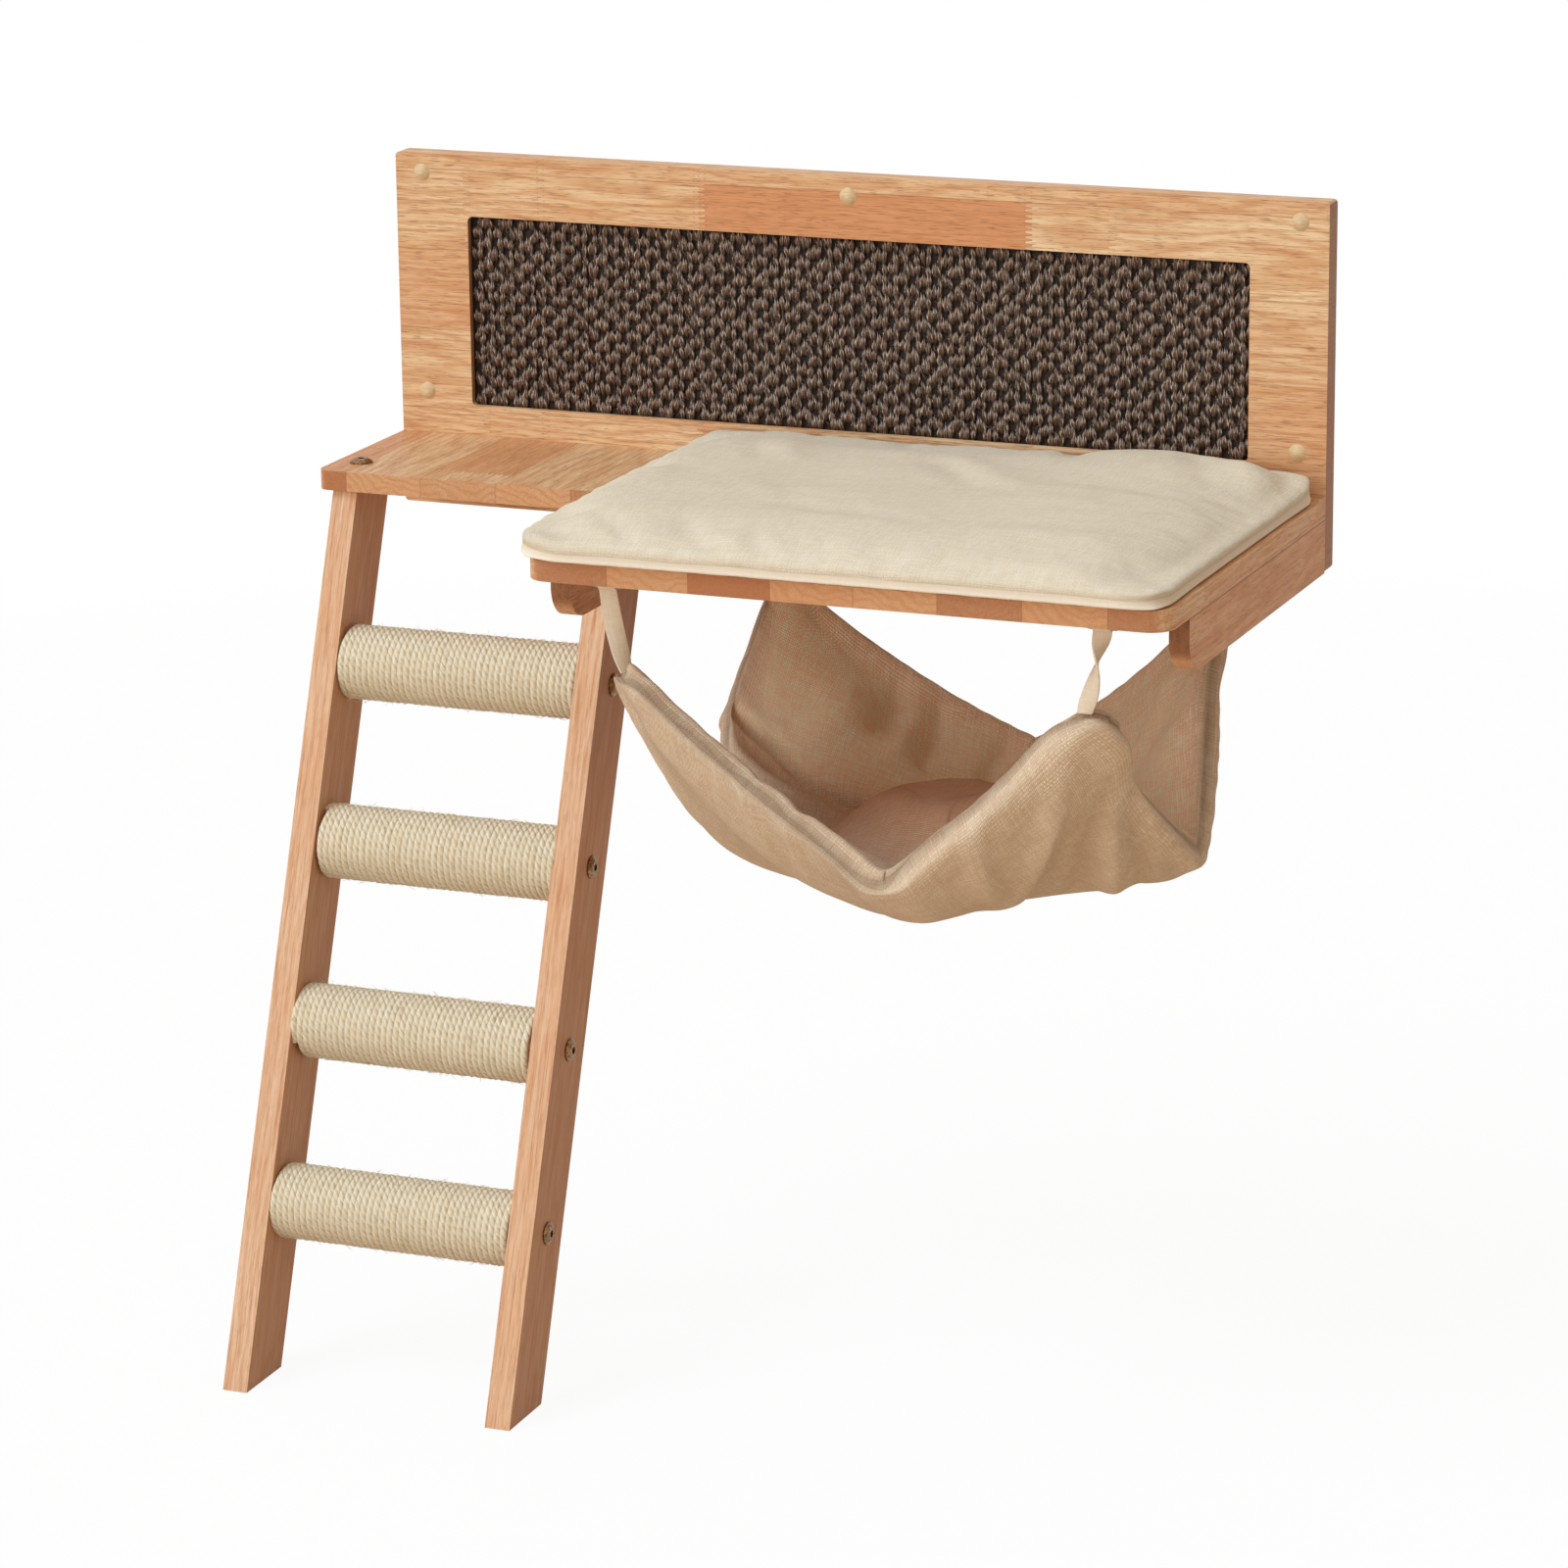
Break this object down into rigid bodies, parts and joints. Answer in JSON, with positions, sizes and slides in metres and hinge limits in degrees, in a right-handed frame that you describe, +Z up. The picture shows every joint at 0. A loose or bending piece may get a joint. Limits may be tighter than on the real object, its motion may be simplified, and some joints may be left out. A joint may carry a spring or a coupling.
{
  "type": "wall-mounted cat platform",
  "caption": "Wall-mounted cat platform with a sisal scratching panel, a cushioned shelf, a rope-wrapped ladder and a sling hammock underneath.",
  "frame": {"origin": "centre of the panel's four corner wall holes, on the panel's back face", "axes": "+Y into the wall, +Z up, +X to the right as seen from the room"},
  "size_m": [0.75, 0.4018, 0.8795],
  "materials": {
    "rubberwood": "satin",
    "rail_wood": "satin",
    "beech": "matte",
    "plywood": "matte",
    "cap_wood": "satin",
    "sisal_mat": "matte",
    "sisal_rope": "matte",
    "linen": "matte",
    "webbing": "matte",
    "zinc_steel": "satin",
    "bronze_steel": "satin",
    "brass": "satin"
  },
  "bodies": {
    "base": {"back_panel": "rubberwood", "sisal_mat": "sisal_mat", "mat_backing": "plywood", "backing_screws": "zinc_steel", "screw_caps": "cap_wood", "shelf_board": "rubberwood", "bracket_left": "rubberwood", "bracket_right": "rubberwood", "bracket_dowels": "beech", "shelf_screws": "zinc_steel", "bracket_screws": "zinc_steel", "rail_left": "rail_wood", "rail_right": "rail_wood", "rung_core_1": "beech", "rung_core_2": "beech", "rung_core_3": "beech", "rung_core_4": "beech", "rung_rope_1": "sisal_rope", "rung_rope_2": "sisal_rope", "rung_rope_3": "sisal_rope", "rung_rope_4": "sisal_rope", "rung_bolts_left": "bronze_steel", "rung_bolts_right": "bronze_steel", "rung_inserts": "brass", "ladder_bolts": "bronze_steel", "rail_inserts": "brass", "strap_staples": "zinc_steel"},
    "cushion": {"seat_cushion": "linen"},
    "strap_front_left": {"strap_front_left": "webbing"},
    "strap_front_right": {"strap_front_right": "webbing"},
    "strap_rear_left": {"strap_rear_left": "webbing"},
    "strap_rear_right": {"strap_rear_right": "webbing"},
    "hammock": {"hammock_mat": "linen"}
  },
  "joints": [
    {"name": "cushion_lift", "type": "slide", "parent": "base", "child": "cushion", "axis": [0, 0, 1], "range_m": [0, 0.08]},
    {"name": "strap_front_left_swing", "type": "hinge", "parent": "base", "child": "strap_front_left", "pos_m": [-0.05, -0.365, -0.13925], "axis": [1, 0, 0], "range_deg": [-15, 15]},
    {"name": "strap_front_right_swing", "type": "hinge", "parent": "base", "child": "strap_front_right", "pos_m": [0.32, -0.365, -0.13925], "axis": [1, 0, 0], "range_deg": [-15, 15]},
    {"name": "strap_rear_left_swing", "type": "hinge", "parent": "base", "child": "strap_rear_left", "pos_m": [-0.05, -0.06, -0.13925], "axis": [1, 0, 0], "range_deg": [-15, 15]},
    {"name": "strap_rear_right_swing", "type": "hinge", "parent": "base", "child": "strap_rear_right", "pos_m": [0.32, -0.06, -0.13925], "axis": [1, 0, 0], "range_deg": [-15, 15]},
    {"name": "hammock_level", "type": "hinge", "parent": "strap_front_left", "child": "hammock", "pos_m": [-0.037, -0.365, -0.20045], "axis": [1, 0, 0], "range_deg": [-15, 15]}
  ],
  "couplings": [
    {"joint": "strap_front_right_swing", "follows": "strap_front_left_swing", "ratio": 1},
    {"joint": "strap_rear_left_swing", "follows": "strap_front_left_swing", "ratio": 1},
    {"joint": "strap_rear_right_swing", "follows": "strap_front_left_swing", "ratio": 1},
    {"joint": "hammock_level", "follows": "strap_front_left_swing", "ratio": -1}
  ]
}
